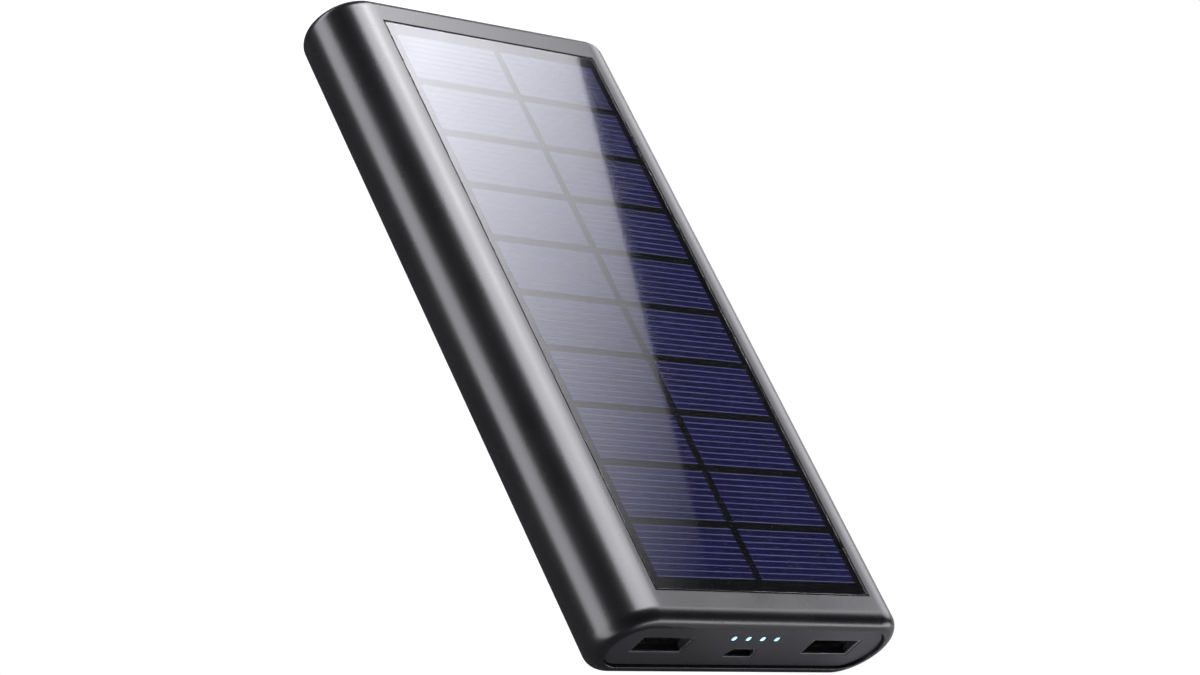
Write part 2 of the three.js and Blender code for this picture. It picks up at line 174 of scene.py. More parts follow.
def stadium(name, reach, radius, low_y, high_y, sides):
    """A bar along Y with flat front and rear faces between two full-round sides."""
    turn = Euler((math.pi / 2, 0.0, 0.0))
    centre = (0.0, (low_y + high_y) / 2, MID_Z)
    piece = round_bar(name, turn, radius, high_y - low_y, centre, sides)
    spread(piece, 0, reach)
    return piece


def spread(piece, axis, reach):
    """Pulls the two halves of a piece apart along an axis."""
    for side in (-1, 1):
        edit(piece, "VERT", lambda v: side * v.co[axis] > CUT_NEAR)
        move = [0.0, 0.0, 0.0]
        move[axis] = side * reach
        bpy.ops.transform.translate(value=move)
        done()


def pill(name, x, centre, half_length, radius):
    """A bar along X with round ends along Y, for the button and what is cut for it."""
    turn = Euler((0.0, math.pi / 2, 0.0))
    middle = ((x[0] + x[1]) / 2, 0.0, centre[1])
    piece = round_bar(name, turn, radius, x[1] - x[0], middle, PILL_SIDES)
    spread(piece, 1, half_length - radius)
    edit(piece, "VERT", lambda v: True)
    bpy.ops.transform.translate(value=(0.0, centre[0], 0.0))
    done()
    return piece


def edit(piece, mode, test):
    """Opens a piece in edit mode with what passes the test selected."""
    bpy.ops.object.select_all(action="DESELECT")
    piece.select_set(True)
    bpy.context.view_layer.objects.active = piece
    if piece.mode != "EDIT":
        bpy.ops.object.mode_set(mode="EDIT")
    bpy.ops.mesh.select_mode(type=mode)
    bpy.ops.mesh.select_all(action="DESELECT")
    mesh = bmesh.from_edit_mesh(piece.data)
    parts = {"VERT": mesh.verts, "EDGE": mesh.edges, "FACE": mesh.faces}[mode]
    for part in parts:
        if test(part):
            part.select_set(True)
    mesh.select_flush_mode()
    bmesh.update_edit_mesh(piece.data)


def done():
    bpy.ops.object.mode_set(mode="OBJECT")


def edge_at(axis, place):
    """A test for edges that lie in a plane across an axis."""
    return lambda e: all(abs(v.co[axis] - place) < NEAR for v in e.verts)


def face_at(axis, place, sign):
    """A test for flat faces that lie in a plane and look along its axis."""
    return lambda f: (
        abs(f.calc_center_median()[axis] - place) < NEAR and f.normal[axis] * sign > 0.99
    )


def bevel_selected(size, segments=3):
    bpy.ops.mesh.bevel(
        offset=size, offset_type="OFFSET", segments=segments, profile=0.5, affect="EDGES"
    )


def bevel_edges(piece, test, size, segments=3):
    edit(piece, "EDGE", test)
    bevel_selected(size, segments)
    done()


def soften(piece, size, segments=2, angle=30.0):
    """Rounds every sharp edge of a piece."""
    modifier = piece.modifiers.new("Soft edges", "BEVEL")
    modifier.width = size
    modifier.segments = segments
    modifier.limit_method = "ANGLE"
    modifier.angle_limit = math.radians(angle)
    apply_modifier(piece, modifier)


def apply_modifier(piece, modifier):
    bpy.ops.object.select_all(action="DESELECT")
    piece.select_set(True)
    bpy.context.view_layer.objects.active = piece
    bpy.ops.object.modifier_apply(modifier=modifier.name)


def carve(piece, cutter, operation="DIFFERENCE"):
    """Cuts or adds another piece and removes it."""
    modifier = piece.modifiers.new("Carve", "BOOLEAN")
    modifier.operation = operation
    modifier.solver = "EXACT"
    modifier.object = cutter
    apply_modifier(piece, modifier)
    bpy.data.objects.remove(cutter, do_unlink=True)


def join(name, pieces):
    bpy.ops.object.select_all(action="DESELECT")
    for piece in pieces:
        piece.select_set(True)
    bpy.context.view_layer.objects.active = pieces[0]
    if len(pieces) > 1:
        bpy.ops.object.join()
    joined = bpy.context.view_layer.objects.active
    joined.name = name
    joined.data.name = name
    return joined


def shade(piece, angle=30.0):
    bpy.ops.object.select_all(action="DESELECT")
    piece.select_set(True)
    bpy.context.view_layer.objects.active = piece
    bpy.ops.object.shade_smooth_by_angle(angle=math.radians(angle))
    modifier = piece.modifiers.new("Weighted normals", "WEIGHTED_NORMAL")
    modifier.keep_sharp = True
    apply_modifier(piece, modifier)


def place(piece, body, slot_name, finish, *nodes):
    """Rides a finished piece on its body, in place of its CAD nodes."""
    piece.data.materials.clear()
    piece.data.materials.append(finish)
    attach(piece, body)
    if nodes:
        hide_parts(*nodes)
    return piece


# Finishes


def shader_of(name):
    """A new finish and its shader, or the finish that is already made and None."""
    name += "_finish"
    material = bpy.data.materials.get(name)
    if material is not None:
        return material, None
    material = bpy.data.materials.new(name)
    material.use_nodes = True
    return material, material.node_tree.nodes["Principled BSDF"]


def plastic(name, tint, roughness, grain, grain_depth, ior=1.5, specular=0.5):
    """Moulded plastic: fine grain, faint cloudiness in colour and sheen."""
    material, shader = shader_of(name)
    if shader is None:
        return material
    tree = material.node_tree
    where = tree.nodes.new("ShaderNodeTexCoord")
    cloud = tree.nodes.new("ShaderNodeTexNoise")
    cloud.inputs["Scale"].default_value = 60.0
    cloud.inputs["Detail"].default_value = 3.0
    mix = tree.nodes.new("ShaderNodeMix")
    mix.data_type = "RGBA"
    dark = [c * (1.0 - TINT_SPREAD) for c in tint]
    light = [c * (1.0 + TINT_SPREAD) for c in tint]
    mix.inputs["A"].default_value = (*dark, 1.0)
    mix.inputs["B"].default_value = (*light, 1.0)
    fine = tree.nodes.new("ShaderNodeTexNoise")
    fine.inputs["Scale"].default_value = grain
    fine.inputs["Detail"].default_value = 2.0
    fine.inputs["Roughness"].default_value = 0.6
    gloss = tree.nodes.new("ShaderNodeMapRange")
    gloss.inputs["From Min"].default_value = 0.3
    gloss.inputs["From Max"].default_value = 0.7
    gloss.inputs["To Min"].default_value = roughness - 0.025
    gloss.inputs["To Max"].default_value = roughness + 0.025
    bump = tree.nodes.new("ShaderNodeBump")
    bump.inputs["Strength"].default_value = 0.35
    bump.inputs["Distance"].default_value = grain_depth * MM
    links = tree.links
    links.new(where.outputs["Object"], cloud.inputs["Vector"])
    links.new(where.outputs["Object"], fine.inputs["Vector"])
    links.new(cloud.outputs["Fac"], mix.inputs["Factor"])
    links.new(mix.outputs["Result"], shader.inputs["Base Color"])
    links.new(cloud.outputs["Fac"], gloss.inputs["Value"])
    links.new(gloss.outputs["Result"], shader.inputs["Roughness"])
    links.new(fine.outputs["Fac"], bump.inputs["Height"])
    links.new(bump.outputs["Normal"], shader.inputs["Normal"])
    shader.inputs["IOR"].default_value = ior
    shader.inputs["Specular IOR Level"].default_value = specular
    return material


def metal(name, tint, roughness, stretch=(1.0, 1.0, 1.0)):
    """Rolled or plated metal with fine drawn streaks."""
    material, shader = shader_of(name)
    if shader is None:
        return material
    tree = material.node_tree
    where = tree.nodes.new("ShaderNodeTexCoord")
    mapping = tree.nodes.new("ShaderNodeMapping")
    mapping.inputs["Scale"].default_value = stretch
    streak = tree.nodes.new("ShaderNodeTexNoise")
    streak.inputs["Scale"].default_value = 2600.0
    streak.inputs["Detail"].default_value = 3.0
    ramp = tree.nodes.new("ShaderNodeMapRange")
    ramp.inputs["To Min"].default_value = roughness * 0.88
    ramp.inputs["To Max"].default_value = roughness * 1.12
    mix = tree.nodes.new("ShaderNodeMix")
    mix.data_type = "RGBA"
    mix.inputs["A"].default_value = (*[c * 0.92 for c in tint], 1.0)
    mix.inputs["B"].default_value = (*tint, 1.0)
    links = tree.links
    links.new(where.outputs["Object"], mapping.inputs["Vector"])
    links.new(mapping.outputs["Vector"], streak.inputs["Vector"])
    links.new(streak.outputs["Fac"], ramp.inputs["Value"])
    links.new(ramp.outputs["Result"], shader.inputs["Roughness"])
    links.new(streak.outputs["Fac"], mix.inputs["Factor"])
    links.new(mix.outputs["Result"], shader.inputs["Base Color"])
    shader.inputs["Metallic"].default_value = 1.0
    return material


def clear_sheet(name):
    """Clear cover layer that lets light through to the cells."""
    material, shader = shader_of(name)
    if shader is None:
        return material
    tree = material.node_tree
    where = tree.nodes.new("ShaderNodeTexCoord")
    haze = tree.nodes.new("ShaderNodeTexNoise")
    haze.inputs["Scale"].default_value = 45.0
    haze.inputs["Detail"].default_value = 2.0
    gloss = tree.nodes.new("ShaderNodeMapRange")
    gloss.inputs["To Min"].default_value = 0.018
    gloss.inputs["To Max"].default_value = 0.03
    path = tree.nodes.new("ShaderNodeLightPath")
    through = tree.nodes.new("ShaderNodeBsdfTransparent")
    mix = tree.nodes.new("ShaderNodeMixShader")
    output = tree.nodes["Material Output"]
    shader.inputs["Base Color"].default_value = (0.97, 0.98, 1.0, 1.0)
    shader.inputs["IOR"].default_value = 1.5
    shader.inputs["Transmission Weight"].default_value = 1.0
    links = tree.links
    links.new(where.outputs["Object"], haze.inputs["Vector"])
    links.new(haze.outputs["Fac"], gloss.inputs["Value"])
    links.new(gloss.outputs["Result"], shader.inputs["Roughness"])
    links.new(path.outputs["Is Shadow Ray"], mix.inputs["Fac"])
    links.new(shader.outputs["BSDF"], mix.inputs[1])
    links.new(through.outputs["BSDF"], mix.inputs[2])
    links.new(mix.outputs["Shader"], output.inputs["Surface"])
    return material


def silicon(name, tint):
    """Solar cell: deep blue coated silicon with a faint crystal sparkle."""
    material, shader = shader_of(name)
    if shader is None:
        return material
    tree = material.node_tree
    where = tree.nodes.new("ShaderNodeTexCoord")
    crystal = tree.nodes.new("ShaderNodeTexVoronoi")
    crystal.inputs["Scale"].default_value = 260.0
    tone = tree.nodes.new("ShaderNodeMapRange")
    mix = tree.nodes.new("ShaderNodeMix")
    mix.data_type = "RGBA"
    mix.inputs["A"].default_value = (*[c * 0.82 for c in tint], 1.0)
    mix.inputs["B"].default_value = (*[min(1.0, c * 1.2) for c in tint], 1.0)
    links = tree.links
    links.new(where.outputs["Object"], crystal.inputs["Vector"])
    links.new(crystal.outputs["Color"], tone.inputs["Value"])
    links.new(tone.outputs["Result"], mix.inputs["Factor"])
    links.new(mix.outputs["Result"], shader.inputs["Base Color"])
    shader.inputs["Roughness"].default_value = 0.1
    shader.inputs["Specular IOR Level"].default_value = 0.13
    shader.inputs["Specular Tint"].default_value = (0.82, 0.84, 1.0, 1.0)
    return material


def glow(name, tint, strength):
    """Light guide that is lit at its tips, by the socket end."""
    material, shader = shader_of(name)
    if shader is None:
        return material
    tree = material.node_tree
    where = tree.nodes.new("ShaderNodeTexCoord")
    split = tree.nodes.new("ShaderNodeSeparateXYZ")
    tip = tree.nodes.new("ShaderNodeMapRange")
    tip.inputs["From Min"].default_value = PLATE_LOW.y + 1.2 * MM
    tip.inputs["From Max"].default_value = PLATE_LOW.y + 0.2 * MM
    tip.inputs["To Min"].default_value = 0.0
    tip.inputs["To Max"].default_value = strength
    nearest = tree.nodes.new("ShaderNodeMath")
    nearest.operation = "PINGPONG"
    nearest.inputs[1].default_value = LED_PITCH / 2
    shifted = tree.nodes.new("ShaderNodeMath")
    shifted.operation = "SUBTRACT"
    shifted.inputs[1].default_value = LED_PITCH / 2
    beside = tree.nodes.new("ShaderNodeCombineXYZ")
    away = tree.nodes.new("ShaderNodeVectorMath")
    away.operation = "DISTANCE"
    away.inputs[1].default_value = (0.0, 0.0, LED_Z)
    core = tree.nodes.new("ShaderNodeMapRange")
    core.inputs["From Min"].default_value = 0.05 * MM
    core.inputs["From Max"].default_value = 0.68 * MM
    core.inputs["To Min"].default_value = 1.0
    core.inputs["To Max"].default_value = 0.06
    lit = tree.nodes.new("ShaderNodeMath")
    lit.operation = "MULTIPLY"
    haze = tree.nodes.new("ShaderNodeTexNoise")
    haze.inputs["Scale"].default_value = 800.0
    mix = tree.nodes.new("ShaderNodeMix")
    mix.data_type = "RGBA"
    mix.inputs["A"].default_value = (*tint, 1.0)
    mix.inputs["B"].default_value = (0.9, 0.97, 1.0, 1.0)
    links = tree.links
    links.new(where.outputs["Object"], split.inputs["Vector"])
    links.new(where.outputs["Object"], haze.inputs["Vector"])
    links.new(split.outputs["Y"], tip.inputs["Value"])
    links.new(haze.outputs["Fac"], mix.inputs["Factor"])
    links.new(mix.outputs["Result"], shader.inputs["Base Color"])
    links.new(split.outputs["X"], shifted.inputs[0])
    links.new(shifted.outputs["Value"], nearest.inputs[0])
    links.new(nearest.outputs["Value"], beside.inputs["X"])
    links.new(split.outputs["Z"], beside.inputs["Z"])
    links.new(beside.outputs["Vector"], away.inputs[0])
    links.new(away.outputs["Value"], core.inputs["Value"])
    links.new(tip.outputs["Result"], lit.inputs[0])
    links.new(core.outputs["Result"], lit.inputs[1])
    links.new(lit.outputs["Value"], shader.inputs["Emission Strength"])
    shader.inputs["Emission Color"].default_value = (*tint, 1.0)
    shader.inputs["Roughness"].default_value = 0.15
    return material


def colours():
    return bpy.context.scene.charger_colours


def sizes():
    return bpy.context.scene.charger_sizes


def shell_plastic():
    return plastic("shell_plastic", colours().shell, 0.28, 2200.0, 0.03, ior=1.55)


def plate_plastic():
    return plastic("plate_plastic", colours().plate, 0.45, 3200.0, 0.02)


def black_laminate():
    return plastic("black_laminate", colours().backing, 0.5, 1500.0, 0.01, specular=0.0)


def tin_plate():
    return metal("tin_plated_steel", (0.56, 0.57, 0.59), 0.26, (1.0, 0.1, 1.0))


def gold_plate():
    return metal("gold_plate", (0.83, 0.60, 0.24), 0.22)


def connector_nylon():
    return plastic("connector_nylon", (0.012, 0.012, 0.013), 0.42, 2500.0, 0.01)


class CHARGER_OT_sleeve(bpy.types.Operator):
    """Models the one-piece body with its panel pocket, port opening and button hole"""

    bl_idname = "charger.sleeve"
    bl_label = "Housing Sleeve"

    def execute(self, context):
        size = sizes()
        radius = MID_Z
        reach = SLEEVE_HIGH.x - radius
        low_y = SLEEVE_LOW.y
        high_y = SLEEVE_HIGH.y
        sleeve = stadium("housing_sleeve_shell", reach, radius, low_y, high_y, size.round_sides)
        bevel_edges(sleeve, edge_at(1, low_y), size.port_fillet, 10)
        bevel_edges(sleeve, edge_at(1, high_y), size.far_fillet, 10)

        edit(sleeve, "FACE", face_at(1, low_y, -1))
        bpy.ops.mesh.inset(thickness=size.rim_wall - size.port_fillet, depth=0.0)
        inside = high_y - size.far_wall - low_y
        bpy.ops.mesh.extrude_region_move(TRANSFORM_OT_translate={"value": (0.0, inside, 0.0)})
        done()
        mouth = radius - size.rim_wall
        bevel_edges(sleeve, self.mouth_test(low_y, reach, mouth), MOUTH_ROUND, 4)
        self.cut_pocket(sleeve)
        self.cut_openings(sleeve, reach)
        shade(sleeve)
        place(sleeve, BODY, "shell_plastic", shell_plastic(), "housing_sleeve")
        return {"FINISHED"}

    def mouth_test(self, low_y, reach, mouth):
        """A test for the edges round the port opening."""

        def round_mouth(edge):
            for vert in edge.verts:
                if abs(vert.co.y - low_y) > NEAR:
                    return False
                side = max(0.0, abs(vert.co.x) - reach)
                if math.hypot(side, vert.co.z - MID_Z) > mouth + 3e-5:
                    return False
            return True

        return round_mouth

    def cut_pocket(self, sleeve):
        size = sizes()
        half_x = COVER_HIGH.x + size.pocket_gap + size.pocket_chamfer
        half_y = COVER_HIGH.y + size.pocket_gap + size.pocket_chamfer
        top = SLEEVE_HIGH.z
        for normal, half in (((1, 0, 0), half_x), ((0, 1, 0), half_y)):
            for side in (-1, 1):
                edit(sleeve, "FACE", face_at(2, top, 1))
                point = [side * half * part for part in normal]
                point[2] = top
                bpy.ops.mesh.bisect(plane_co=point, plane_no=normal, threshold=CUT_NEAR)
                done()

        def in_pocket(face):
            centre = face.calc_center_median()
            return (
                face.normal.z > 0.99
                and abs(centre.z - top) < NEAR
                and abs(centre.x) < half_x
                and abs(centre.y) < half_y
            )

        edit(sleeve, "FACE", in_pocket)
        bpy.ops.mesh.inset(thickness=size.pocket_chamfer, depth=-size.pocket_chamfer)
        drop = size.pocket_depth - size.pocket_chamfer
        bpy.ops.mesh.extrude_region_move(TRANSFORM_OT_translate={"value": (0.0, 0.0, -drop)})
        done()

    def cut_openings(self, sleeve, reach):
        button_low, button_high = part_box("power_button_cap")
        centre_y = (button_low.y + button_high.y) / 2
        for side in (-1, 1):
            edit(sleeve, "FACE", lambda f: f.calc_center_median().x > reach)
            bpy.ops.mesh.bisect(
                plane_co=(0.0, centre_y + side * 9.0 * MM, 0.0),
                plane_no=(0, 1, 0),
                threshold=CUT_NEAR,
            )
            done()
        slot = block("wire_slot", millimetres(-6, -63, 12), millimetres(6, -58, 19.6))
        carve(sleeve, slot)
        for side_x in (-1, 1):
            for low_z, high_z in ((2.6, 4.5), (15.1, 17.0)):
                low = millimetres(side_x * 12.5 - 2.8, -72.8, low_z)
                high = millimetres(side_x * 12.5 + 2.8, -70.2, high_z)
                carve(sleeve, block("snap_notch", low, high))
        centre = (centre_y, MID_Z)
        dish = pill("button_dish", (40.1 * MM, 42.4 * MM), centre, 6.6 * MM, 3.6 * MM)
        edit(dish, "FACE", face_at(0, 42.4 * MM, 1))
        bpy.ops.transform.resize(value=(1.0, 1.25, 1.45))
        done()
        bevel_edges(dish, edge_at(0, 40.1 * MM), 0.3 * MM, 4)
        carve(sleeve, dish)
        hole = pill("button_hole", (31.0 * MM, 43.0 * MM), centre, 4.65 * MM, 1.75 * MM)
        carve(sleeve, hole)


def small_opening(name, low_y, high_y, inset):
    """A block of the small socket's outline, whose upper corners slope in."""
    low_z = 6.15 * MM + inset
    high_z = 9.05 * MM - inset
    half_x = 4.05 * MM - inset
    piece = block(name, (-half_x, low_y, low_z), (half_x, high_y, high_z))
    edit(piece, "FACE", lambda f: True)
    fold = low_z + 0.42 * (high_z - low_z)
    bpy.ops.mesh.bisect(plane_co=(0.0, 0.0, fold), plane_no=(0, 0, 1), threshold=CUT_NEAR)
    done()
    edit(piece, "FACE", face_at(2, high_z, 1))
    bpy.ops.transform.resize(value=(2.95 / 4.05, 1.0, 1.0))
    done()
    return piece


def lining(outer, inner):
    """The folded lip of a socket's shell, which lines its opening in the plate."""
    carve(outer, inner)
    bevel_edges(outer, edge_at(1, PLATE_LOW.y + LIP_SET_BACK), 0.07 * MM, 2)
    return outer


class CHARGER_OT_port_plate(bpy.types.Operator):
    """Models the plate in the port end with its socket and light openings"""

    bl_idname = "charger.port_plate"
    bl_label = "Port End Plate"

    def execute(self, context):
        size = sizes()
        radius = 6.35 * MM
        front = PLATE_LOW.y
        back = front + 2.0 * MM
        plate = stadium("port_plate", PLATE_HIGH.x - radius, radius, front, back, size.round_sides)
        bevel_edges(plate, edge_at(1, front), size.plate_chamfer, 3)
        for side in (-1, 1):
            shell_low, shell_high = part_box(
                "usb_a_shell_left" if side < 0 else "usb_a_shell_right"
            )
            centre = (shell_low + shell_high) / 2
            chamfer = size.cut_chamfer
            cutter = self.cutter(centre.x, centre.z, 6.9 * MM, 2.45 * MM, front, chamfer)
            carve(plate, cutter)
        carve(plate, self.micro_cutter(front, size.cut_chamfer))
        for step in LED_STEPS:
            window = self.cutter(step * LED_PITCH, LED_Z, 0.6 * MM, 0.7 * MM, front, 0.1 * MM)
            carve(plate, window)
        for side_x in (-1, 1):
            for side_z in (-1, 1):
                carve(plate, self.hook(side_x, side_z, back), "UNION")
        shade(plate)
        place(plate, BODY, "plate_plastic", plate_plastic(), "port_end_plate")
        return {"FINISHED"}

    def cutter(self, x, z, half_x, half_z, front, chamfer):
        """A straight-sided cutter that flares where it leaves the plate's front."""
        start = front + chamfer
        tool = block(
            "cutter", (x - half_x, start, z - half_z), (x + half_x, front + 4.0 * MM, z + half_z)
        )
        flare = 1.2 * chamfer
        edit(tool, "FACE", face_at(1, start, -1))
        bpy.ops.mesh.extrude_region_move(TRANSFORM_OT_translate={"value": (0.0, -flare, 0.0)})
        bpy.ops.transform.resize(value=(1 + flare / half_x, 1.0, 1 + flare / half_z))
        done()
        return tool

    def micro_cutter(self, front, chamfer):
        """The cutter for the small socket."""
        tool = small_opening("micro_cutter", front + chamfer, front + 4.0 * MM, 0.0)
        edit(tool, "FACE", lambda f: f.normal.y < -0.99)
        flare = 1.2 * chamfer
        bpy.ops.mesh.extrude_region_move(TRANSFORM_OT_translate={"value": (0.0, -flare, 0.0)})
        bpy.ops.transform.resize(value=(1 + flare / (3.7 * MM), 1.0, 1 + flare / (1.45 * MM)))
        done()
        return tool

    def hook(self, side_x, side_z, back):
        """A snap arm behind the plate, with a barb that points outwards."""
        low_z = MID_Z + min(side_z * 5.1 * MM, side_z * 6.2 * MM)
        high_z = MID_Z + max(side_z * 5.1 * MM, side_z * 6.2 * MM)
        x = side_x * 12.5 * MM
        arm = block(
            "hook", (x - 2.5 * MM, back - 0.5 * MM, low_z), (x + 2.5 * MM, -70.5 * MM, high_z)
        )
        edit(arm, "FACE", lambda f: True)
        bpy.ops.mesh.bisect(plane_co=(0.0, -72.6 * MM, 0.0), plane_no=(0, 1, 0), threshold=CUT_NEAR)
        done()

        def outer(face):
            return face.normal.z * side_z > 0.99 and face.calc_center_median().y > -72.6 * MM

        edit(arm, "FACE", outer)
        bpy.ops.mesh.extrude_region_move(
            TRANSFORM_OT_translate={"value": (0.0, 0.0, side_z * 0.75 * MM)}
        )
        done()
        return arm


class CHARGER_OT_solar_panel(bpy.types.Operator):
    """Models the panel's clear cover and the silver lines printed on its cells"""

    bl_idname = "charger.solar_panel"
    bl_label = "Solar Panel"

    def execute(self, context):
        self.cover()
        self.printed_lines()
        for name in CELL_NAMES:
            repaint(name, silicon("coated_silicon", colours().silicon))
        repaint("panel_backing_board", black_laminate())
        tape = plastic("adhesive_tape", (0.012, 0.012, 0.012), 0.8, 900.0, 0.03)
        repaint("panel_adhesive_frame", tape)
        return {"FINISHED"}

    def cover(self):
        low = Vector((COVER_LOW.x, COVER_LOW.y, CELL_TOP + 0.06 * MM))
        sheet = block("panel_cover_sheet", low, COVER_HIGH)
        bevel_edges(sheet, edge_at(2, COVER_HIGH.z), 0.05 * MM, 2)
        shade(sheet, 50.0)
        place(sheet, BODY, "clear_cover", clear_sheet("clear_cover"), "panel_clear_cover")

    def printed_lines(self):
        """One cell's lines are modelled once and copied to every cell."""
        width = sizes().line_width
        half_x = (CELL_HIGH.x - CELL_LOW.x) / 2
        half_y = (CELL_HIGH.y - CELL_LOW.y) / 2
        low_z = CELL_TOP
        high_z = CELL_TOP + LINE_THICKNESS
        pitch = (2 * half_y - width) / (LINE_COUNT - 1)
        lines = block("cell_lines", (-half_x, -half_y, low_z), (half_x, -half_y + width, high_z))
        bevel_edges(lines, edge_at(2, high_z), 0.005 * MM, 1)
        repeat(lines, LINE_COUNT, (0.0, pitch, 0.0))
        low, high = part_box("solar_cell_left_1")
        pitch_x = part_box("solar_cell_right_1")[0].x - low.x
        pitch_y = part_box("solar_cell_left_2")[0].y - low.y
        edit(lines, "VERT", lambda v: True)
        bpy.ops.transform.translate(value=((low.x + high.x) / 2, (low.y + high.y) / 2, 0.0))
        done()
        repeat(lines, 2, (pitch_x, 0.0, 0.0))
        repeat(lines, 10, (0.0, pitch_y, 0.0))
        silver = plastic(
            "printed_silver", colours().print_silver, 0.5, 2000.0, 0.002, specular=0.0
        )
        place(lines, BODY, "solar_silicon", silver)


def repeat(piece, count, step):
    modifier = piece.modifiers.new("Repeat", "ARRAY")
    modifier.count = count
    modifier.use_relative_offset = False
    modifier.use_constant_offset = True
    modifier.constant_offset_displace = step
    apply_modifier(piece, modifier)


def repaint(name, finish):
    """Gives a carried-over CAD node its finish."""
    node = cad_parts[name]
    if not node.material_slots:
        raise RuntimeError(f"{name} has no material slot")
    for slot in node.material_slots:
        slot.material = finish


class CHARGER_OT_usb_sockets(bpy.types.Operator):
    """Models the two large sockets: drawn shells, blades and contacts"""

    bl_idname = "charger.usb_sockets"
    bl_label = "Large Sockets"

    def execute(self, context):
        for side in ("left", "right"):
            self.shell(side)
            self.blade(side)
        return {"FINISHED"}

    def shell(self, side):
        low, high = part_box("usb_a_shell_" + side)
        shell = block("usb_shell_" + side, low, high)

        def long_edge(edge):
            a, b = (v.co for v in edge.verts)
            return abs(a.x - b.x) < NEAR and abs(a.z - b.z) < NEAR

        bevel_edges(shell, long_edge, 0.5 * MM, 4)
        edit(shell, "FACE", face_at(1, low.y, -1))
        bpy.ops.mesh.inset(thickness=0.3 * MM, depth=0.0)
        deep = high.y - low.y - 0.3 * MM
        bpy.ops.mesh.extrude_region_move(TRANSFORM_OT_translate={"value": (0.0, deep, 0.0)})
        done()
        bevel_edges(shell, edge_at(1, low.y), 0.08 * MM, 2)
        middle = (low + high) / 2
        front = PLATE_LOW.y + LIP_SET_BACK
        lip = lining(
            block(
                "usb_lip",
                (middle.x - 6.88 * MM, front, middle.z - 2.43 * MM),
                (middle.x + 6.88 * MM, front + 0.4 * MM, middle.z + 2.43 * MM),
            ),
            block(
                "usb_lip_inside",
                (middle.x - 6.6 * MM, front - MM, middle.z - 2.19 * MM),
                (middle.x + 6.6 * MM, low.y + MM, middle.z + 2.34 * MM),
            ),
        )
        shell = join("usb_shell_" + side, [shell, lip])
        shade(shell)
        place(shell, BODY, "connector_steel", tin_plate(), "usb_a_shell_" + side)

    def blade(self, side):
        low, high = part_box("usb_a_tongue_" + side)
        gap = 0.03 * MM
        blade = block(
            "usb_blade_" + side,
            (low.x + 0.7 * MM, low.y, high.z - 2.35 * MM),
            (high.x - 0.7 * MM, high.y - 2.0 * MM, high.z - 0.5 * MM),
        )
        bevel_edges(blade, edge_at(1, low.y), 0.35 * MM, 3)
        base = block(
            "usb_base_" + side,
            (low.x + gap, high.y - 2.7 * MM, low.z + gap),
            (high.x - gap, high.y - gap, high.z - gap),
        )
        soften(base, 0.45 * MM, 3)
        carve(blade, base, "UNION")
        shade(blade)
        place(blade, BODY, "connector_nylon", connector_nylon(), "usb_a_tongue_" + side)
        middle = (low.x + high.x) / 2
        contact = block(
            "usb_contacts_" + side,
            (middle - 4.0 * MM, low.y + 0.6 * MM, high.z - 2.5 * MM),
            (middle - 3.0 * MM, high.y - 3.2 * MM, high.z - 2.3 * MM),
        )
        bevel_edges(contact, lambda e: e.verts[0].co.z < high.z - 2.4 * MM, 0.06 * MM, 2)
        repeat(contact, 4, (7.0 / 3 * MM, 0.0, 0.0))
        shade(contact)
        place(contact, BODY, "connector_steel", gold_plate())


class CHARGER_OT_micro_socket(bpy.types.Operator):
    """Models the small socket: folded shell and blade"""

    bl_idname = "charger.micro_socket"
    bl_label = "Small Socket"

    def execute(self, context):
        low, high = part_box("micro_usb_shell")
        shell = block("micro_shell", low, high)
        edit(shell, "FACE", lambda f: True)
        fold = low.z + 0.42 * (high.z - low.z)
        bpy.ops.mesh.bisect(plane_co=(0.0, 0.0, fold), plane_no=(0, 0, 1), threshold=CUT_NEAR)
        done()
        edit(shell, "FACE", face_at(2, high.z, 1))
        bpy.ops.transform.resize(value=(1.0 - 1.0 * MM / high.x, 1.0, 1.0))
        done()

        def front(face):
            return face.normal.y < -0.99

        edit(shell, "FACE", front)
        bpy.ops.mesh.dissolve_faces()
        done()
        edit(shell, "FACE", front)
        bpy.ops.mesh.inset(thickness=0.25 * MM, depth=0.0)
        deep = high.y - low.y - 0.25 * MM
        bpy.ops.mesh.extrude_region_move(TRANSFORM_OT_translate={"value": (0.0, deep, 0.0)})
        done()
        soften(shell, 0.06 * MM, 2)
        front_y = PLATE_LOW.y + LIP_SET_BACK
        lip = lining(
            small_opening("micro_lip", front_y, front_y + 0.4 * MM, 0.03 * MM),
            small_opening("micro_lip_inside", front_y - MM, low.y + MM, 0.2 * MM),
        )
        shell = join("micro_shell", [shell, lip])
        shade(shell)
        place(shell, BODY, "connector_steel", tin_plate(), "micro_usb_shell")

        low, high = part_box("micro_usb_tongue")
        blade = block(
            "micro_blade",
            (-2.0 * MM, low.y, low.z + 1.15 * MM),
            (2.0 * MM, high.y - 0.4 * MM, low.z + 1.75 * MM),
        )
        bevel_edges(blade, edge_at(1, low.y), 0.12 * MM, 2)
        base = block(
            "micro_base", (low.x, high.y - 0.8 * MM, low.z), (high.x, high.y - 0.02 * MM, high.z)
        )
        carve(blade, base, "UNION")
        soften(blade, 0.04 * MM, 1)
        shade(blade)
        place(blade, BODY, "connector_nylon", connector_nylon(), "micro_usb_tongue")
        contact = block(
            "micro_contacts",
            (-1.43 * MM, low.y + 0.3 * MM, low.z + 1.07 * MM),
            (-1.17 * MM, high.y - 0.9 * MM, low.z + 1.18 * MM),
        )
        bevel_edges(contact, lambda e: e.verts[0].co.z < low.z + 1.1 * MM, 0.03 * MM, 1)
        repeat(contact, 5, (0.65 * MM, 0.0, 0.0))
        shade(contact)
        place(contact, BODY, "connector_steel", gold_plate())
        return {"FINISHED"}


